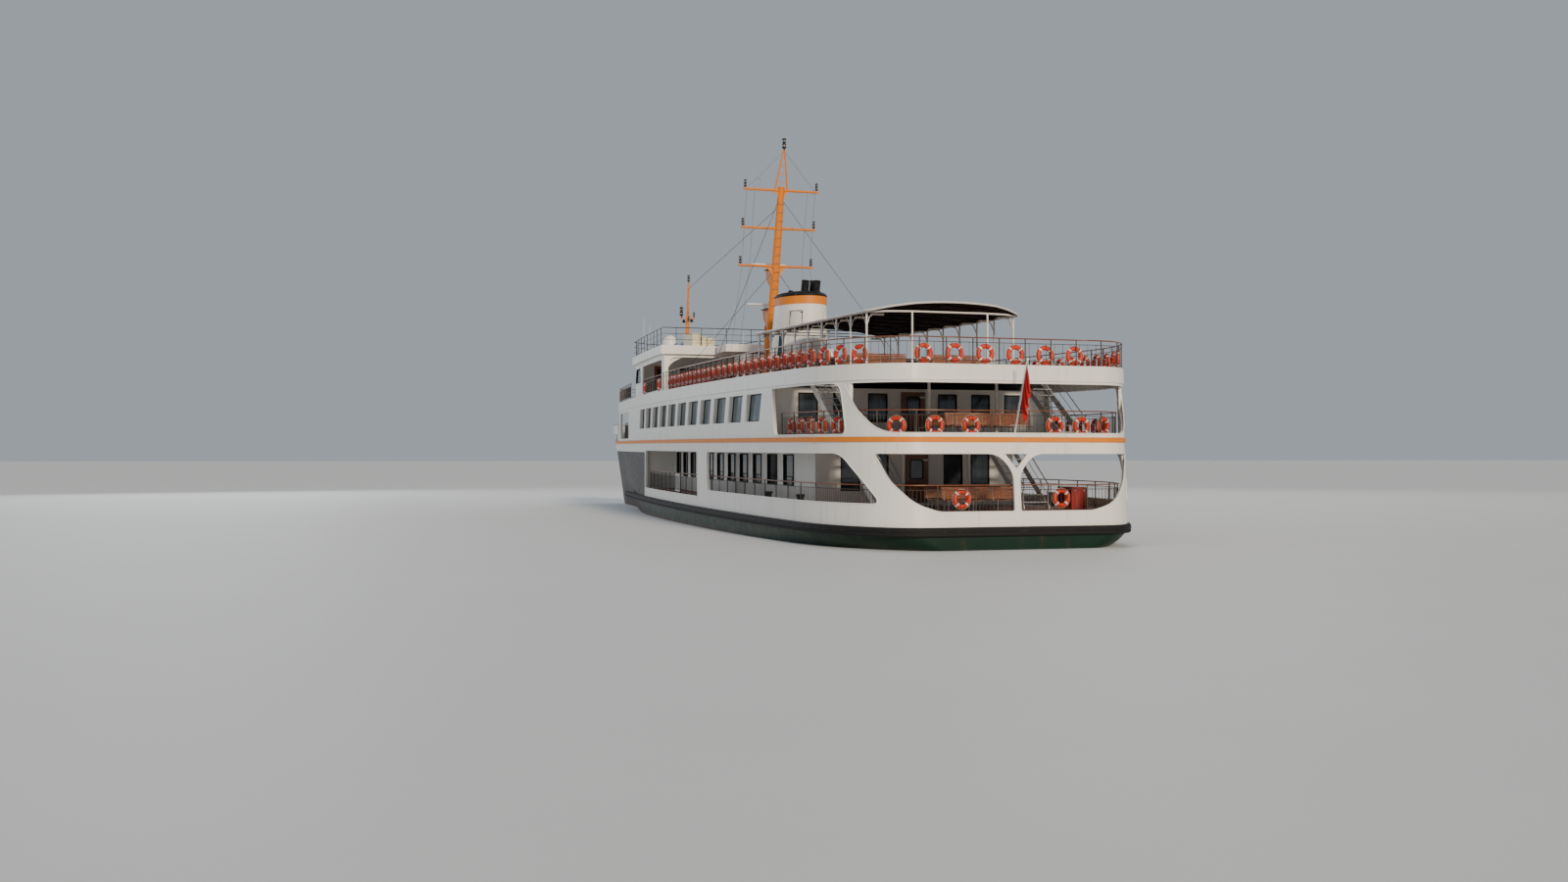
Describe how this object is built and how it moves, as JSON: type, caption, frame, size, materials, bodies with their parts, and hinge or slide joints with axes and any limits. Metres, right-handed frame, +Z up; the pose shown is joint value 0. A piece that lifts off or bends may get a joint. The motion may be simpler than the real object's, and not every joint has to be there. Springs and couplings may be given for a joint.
{
  "type": "passenger ferry, as a scale model at 1:2",
  "caption": "Passenger ferry with covered decks open at the stern, a roofed top deck, oval funnel, tall mast and wheelhouse, afloat with its whole hull; a half-size scale model.",
  "frame": {"origin": "on the waterline, amidships on the centreline", "axes": "+X to the bow, +Y to port, +Z up"},
  "size_m": [33.4652, 6.74, 11.7744],
  "materials": {
    "white_paint": "satin paint, slightly weathered",
    "dark_hull": "dark green and black hull paint",
    "black_paint": "matt black paint",
    "orange_paint": "orange paint",
    "deck_floor": "red-brown deck paint",
    "varnished_wood": "varnished hardwood",
    "grey_paint": "grey paint",
    "bronze": "propeller bronze",
    "steel": "bare steel",
    "canvas": "pale awning cloth",
    "red_cloth": "red flag cloth",
    "blue_cloth": "blue cover cloth",
    "cream_paint": "cream paint",
    "window_glass": "dark tinted glass",
    "lifebuoy_orange": "orange lifebuoy shell",
    "lifebuoy_band": "pale reflective band",
    "wire_rope": "galvanised wire rope"
  },
  "bodies": {
    "ship": {"hull": "dark_hull", "forecastle": "dark_hull", "rubbing_strake": "black_paint", "shaft_port": "steel", "shaft_starboard": "steel", "bollards_port": "black_paint", "bollards_starboard": "black_paint", "main_deck": "deck_floor", "main_shell": "white_paint", "main_house": "white_paint", "upper_deck": "orange_paint", "upper_shell": "white_paint", "upper_aft_bulkhead": "white_paint", "upper_fore_bulkhead": "white_paint", "bow_bulwark": "white_paint", "top_band": "white_paint", "top_deck": "deck_floor", "main_stair_port": "grey_paint", "main_stair_starboard": "grey_paint", "upper_stair_port": "grey_paint", "upper_stair_starboard": "grey_paint", "main_rail_port": "varnished_wood", "main_rail_starboard": "varnished_wood", "upper_rail": "varnished_wood", "top_rail": "varnished_wood", "fore_rail": "varnished_wood", "wheelhouse": "white_paint", "cab_bulkhead": "white_paint", "wheelhouse_roof": "white_paint", "roof_rail": "white_paint", "funnel": "white_paint", "funnel_cap": "black_paint", "mast": "orange_paint", "foremast": "orange_paint", "satellite_dome": "white_paint", "roof_bundle": "blue_cloth", "roof_lockers": "cream_paint", "mast_locker": "white_paint", "fore_locker": "white_paint", "awning": "canvas", "awning_frame": "white_paint", "top_benches_port": "varnished_wood", "top_benches_starboard": "varnished_wood", "upper_benches": "varnished_wood", "main_benches": "varnished_wood", "flagstaff": "white_paint", "flag": "red_cloth", "locker_main": "orange_paint"},
    "propeller_port": {"propeller_port": "bronze"},
    "propeller_starboard": {"propeller_starboard": "bronze"},
    "rudder_port": {"rudder_port": "dark_hull"},
    "rudder_starboard": {"rudder_starboard": "dark_hull"},
    "radar_scanner_upper": {"radar_scanner_upper": "white_paint"},
    "radar_scanner_lower": {"radar_scanner_lower": "white_paint"},
    "main_aft_door": {"main_aft_door": "white_paint"},
    "upper_aft_door": {"upper_aft_door": "white_paint"},
    "cab_door_port": {"cab_door_port": "varnished_wood"},
    "cab_door_starboard": {"cab_door_starboard": "varnished_wood"},
    "boarding_gate_port": {"boarding_gate_port": "varnished_wood"},
    "boarding_gate_starboard": {"boarding_gate_starboard": "varnished_wood"}
  },
  "joints": [
    {"name": "propeller_port_spin", "type": "hinge", "parent": "ship", "child": "propeller_port", "pos_m": [-14.65, 1.3, -0.97635], "axis": [1, 0, 0], "continuous": true},
    {"name": "rudder_port_steer", "type": "hinge", "parent": "ship", "child": "rudder_port", "pos_m": [-15.3, 1.3, -0.95557], "axis": [0, 0, 1], "range_deg": [-35, 35]},
    {"name": "propeller_starboard_spin", "type": "hinge", "parent": "ship", "child": "propeller_starboard", "pos_m": [-14.65, -1.3, -0.97635], "axis": [1, 0, 0], "continuous": true},
    {"name": "rudder_starboard_steer", "type": "hinge", "parent": "ship", "child": "rudder_starboard", "pos_m": [-15.3, -1.3, -0.95557], "axis": [0, 0, 1], "range_deg": [-35, 35]},
    {"name": "radar_upper_spin", "type": "hinge", "parent": "ship", "child": "radar_scanner_upper", "pos_m": [-1.84833, 0, 6.98186], "axis": [0, 0, 1], "continuous": true},
    {"name": "radar_lower_spin", "type": "hinge", "parent": "ship", "child": "radar_scanner_lower", "pos_m": [-1.55556, 0, 5.90876], "axis": [0, 0, 1], "continuous": true},
    {"name": "main_aft_door_swing", "type": "hinge", "parent": "ship", "child": "main_aft_door", "pos_m": [-11.9725, -0.28, 0.76605], "axis": [0, 0, 1], "range_deg": [0, 110]},
    {"name": "upper_aft_door_swing", "type": "hinge", "parent": "ship", "child": "upper_aft_door", "pos_m": [-11.7975, -0.28, 2.22719], "axis": [0, 0, 1], "range_deg": [0, 110]},
    {"name": "cab_door_port_swing", "type": "hinge", "parent": "ship", "child": "cab_door_port", "pos_m": [5.1525, 0.97, 3.66737], "axis": [0, 0, 1], "range_deg": [0, 110]},
    {"name": "cab_door_starboard_swing", "type": "hinge", "parent": "ship", "child": "cab_door_starboard", "pos_m": [5.1525, -0.97, 3.66737], "axis": [0, 0, -1], "range_deg": [0, 110]},
    {"name": "boarding_gate_port_swing", "type": "hinge", "parent": "ship", "child": "boarding_gate_port", "pos_m": [-2.05, 2.57042, 0.75555], "axis": [0, 0, -1], "range_deg": [0, 90]},
    {"name": "boarding_gate_starboard_swing", "type": "hinge", "parent": "ship", "child": "boarding_gate_starboard", "pos_m": [-2.05, -2.57042, 0.75555], "axis": [0, 0, 1], "range_deg": [0, 90]}
  ]
}
